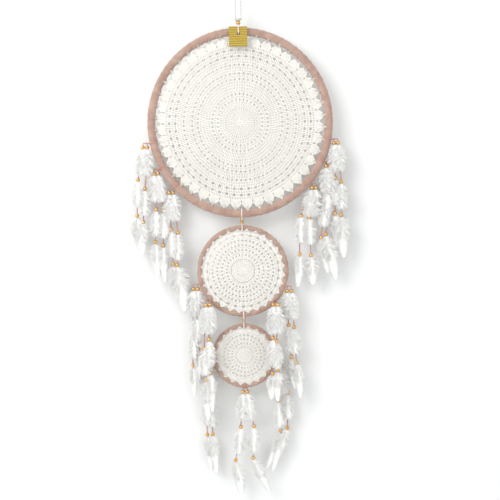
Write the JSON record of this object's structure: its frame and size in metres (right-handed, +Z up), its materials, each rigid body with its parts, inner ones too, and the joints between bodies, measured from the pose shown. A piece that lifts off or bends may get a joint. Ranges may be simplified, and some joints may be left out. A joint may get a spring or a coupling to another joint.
{
  "type": "dream catcher",
  "caption": "Hanging chain of wrapped hoops with crocheted doilies, beaded laces and feathers, each hoop and dangler free to swing.",
  "frame": {"origin": "inside top of the hanging loop, where the nail or hook bears", "axes": "+Z up, +X to the right seen from the front, +Y towards the wall behind"},
  "size_m": [0.4727, 0.0456, 1.113],
  "materials": {
    "gold_beads": "gold plated plastic, polished",
    "white_feather": "soft down and vane",
    "rose_lace": "suede, matt nap",
    "rose_suede_wrap": "suede strip, matt nap",
    "rattan": "raw cane",
    "ivory_cotton": "crocheted mercerised cotton",
    "gold_card": "gold foil card",
    "white_cord": "soft braided cotton",
    "pale_pink_cord": "soft braided cotton"
  },
  "bodies": {
    "hanger": {"hanging_loop": "white_cord"},
    "tie": {"top_bead": "gold_beads", "hoop_tie": "pale_pink_cord"},
    "tag": {"tag": "gold_card"},
    "large_hoop": {"large_hoop_core": "rattan", "large_hoop_wrap": "rose_suede_wrap", "large_doily": "ivory_cotton", "large_lace_loops": "rose_lace"},
    "middle_hoop": {"middle_hoop_core": "rattan", "middle_hoop_wrap": "rose_suede_wrap", "middle_doily": "ivory_cotton", "middle_lace_loops": "rose_lace"},
    "small_hoop": {"small_hoop_core": "rattan", "small_hoop_wrap": "rose_suede_wrap", "small_doily": "ivory_cotton", "small_lace_loops": "rose_lace"},
    "link_1": {"link_1_cord": "pale_pink_cord", "link_1_beads": "gold_beads"},
    "link_2": {"link_2_cord": "pale_pink_cord", "link_2_beads": "gold_beads"},
    "dangler_left_1": {"left_1_laces": "rose_lace", "left_1_beads": "gold_beads", "left_1_feathers": "white_feather"},
    "dangler_left_2": {"left_2_laces": "rose_lace", "left_2_beads": "gold_beads", "left_2_feathers": "white_feather"},
    "dangler_left_3": {"left_3_laces": "rose_lace", "left_3_beads": "gold_beads", "left_3_feathers": "white_feather"},
    "dangler_right_1": {"right_1_laces": "rose_lace", "right_1_beads": "gold_beads", "right_1_feathers": "white_feather"},
    "dangler_right_2": {"right_2_laces": "rose_lace", "right_2_beads": "gold_beads", "right_2_feathers": "white_feather"},
    "dangler_right_3": {"right_3_laces": "rose_lace", "right_3_beads": "gold_beads", "right_3_feathers": "white_feather"},
    "dangler_left_4": {"left_4_laces": "rose_lace", "left_4_beads": "gold_beads", "left_4_feathers": "white_feather"},
    "dangler_left_5": {"left_5_laces": "rose_lace", "left_5_beads": "gold_beads", "left_5_feathers": "white_feather"},
    "dangler_right_4": {"right_4_laces": "rose_lace", "right_4_beads": "gold_beads", "right_4_feathers": "white_feather"},
    "dangler_right_5": {"right_5_laces": "rose_lace", "right_5_beads": "gold_beads", "right_5_feathers": "white_feather"},
    "dangler_left_6": {"left_6_laces": "rose_lace", "left_6_beads": "gold_beads", "left_6_feathers": "white_feather"},
    "dangler_right_6": {"right_6_laces": "rose_lace", "right_6_beads": "gold_beads", "right_6_feathers": "white_feather"},
    "dangler_bottom": {"bottom_laces": "rose_lace", "bottom_beads": "gold_beads", "bottom_feathers": "white_feather"}
  },
  "joints": [
    {"name": "hanger_twist", "type": "hinge", "parent": "hanger", "child": "tie", "pos_m": [0, 0, -0.071], "axis": [0, 0, 1], "range_deg": [-90, 90]},
    {"name": "tag_flap", "type": "hinge", "parent": "tie", "child": "tag", "pos_m": [0, -0.0137, -0.0935], "axis": [1, 0, 0], "range_deg": [-15, 0]},
    {"name": "large_hoop_swing", "type": "hinge", "parent": "tie", "child": "large_hoop", "pos_m": [0, 0, -0.0895], "axis": [1, 0, 0], "range_deg": [-15, 15]},
    {"name": "link_1_swing", "type": "hinge", "parent": "large_hoop", "child": "link_1", "pos_m": [0, 0, -0.4935], "axis": [1, 0, 0], "range_deg": [-15, 15]},
    {"name": "middle_hoop_twist", "type": "hinge", "parent": "link_1", "child": "middle_hoop", "pos_m": [0, 0, -0.51], "axis": [0, 0, 1], "range_deg": [-20, 20]},
    {"name": "link_2_swing", "type": "hinge", "parent": "middle_hoop", "child": "link_2", "pos_m": [0, 0, -0.71525], "axis": [1, 0, 0], "range_deg": [0, 15]},
    {"name": "small_hoop_twist", "type": "hinge", "parent": "link_2", "child": "small_hoop", "pos_m": [0, 0, -0.728], "axis": [0, 0, 1], "range_deg": [-8, 8]},
    {"name": "left_1_swing", "type": "hinge", "parent": "large_hoop", "child": "dangler_left_1", "pos_m": [0, 0, -0.34], "axis": [1, 0, 0], "range_deg": [-35, 35]},
    {"name": "left_2_swing", "type": "hinge", "parent": "large_hoop", "child": "dangler_left_2", "pos_m": [0, 0, -0.398], "axis": [1, 0, 0], "range_deg": [-35, 35]},
    {"name": "left_3_swing", "type": "hinge", "parent": "large_hoop", "child": "dangler_left_3", "pos_m": [0, 0, -0.441], "axis": [1, 0, 0], "range_deg": [-35, 35]},
    {"name": "right_1_swing", "type": "hinge", "parent": "large_hoop", "child": "dangler_right_1", "pos_m": [0, 0, -0.338], "axis": [1, 0, 0], "range_deg": [-35, 35]},
    {"name": "right_2_swing", "type": "hinge", "parent": "large_hoop", "child": "dangler_right_2", "pos_m": [0, 0, -0.388], "axis": [1, 0, 0], "range_deg": [-35, 35]},
    {"name": "right_3_swing", "type": "hinge", "parent": "large_hoop", "child": "dangler_right_3", "pos_m": [0, 0, -0.436], "axis": [1, 0, 0], "range_deg": [-35, 35]},
    {"name": "left_4_swing", "type": "hinge", "parent": "middle_hoop", "child": "dangler_left_4", "pos_m": [0, 0, -0.655], "axis": [1, 0, 0], "range_deg": [-35, 35]},
    {"name": "left_5_swing", "type": "hinge", "parent": "middle_hoop", "child": "dangler_left_5", "pos_m": [0, -0.022, -0.69], "axis": [1, 0, 0], "range_deg": [-35, 0]},
    {"name": "right_4_swing", "type": "hinge", "parent": "middle_hoop", "child": "dangler_right_4", "pos_m": [0, 0, -0.663], "axis": [1, 0, 0], "range_deg": [-35, 35]},
    {"name": "right_5_swing", "type": "hinge", "parent": "middle_hoop", "child": "dangler_right_5", "pos_m": [0, -0.022, -0.692], "axis": [1, 0, 0], "range_deg": [-35, 0]},
    {"name": "left_6_swing", "type": "hinge", "parent": "small_hoop", "child": "dangler_left_6", "pos_m": [0, 0.014, -0.82], "axis": [1, 0, 0], "range_deg": [0, 35]},
    {"name": "right_6_swing", "type": "hinge", "parent": "small_hoop", "child": "dangler_right_6", "pos_m": [0, 0.014, -0.828], "axis": [1, 0, 0], "range_deg": [0, 35]},
    {"name": "bottom_swing", "type": "hinge", "parent": "small_hoop", "child": "dangler_bottom", "pos_m": [0, 0, -0.884], "axis": [1, 0, 0], "range_deg": [-35, 0]}
  ]
}
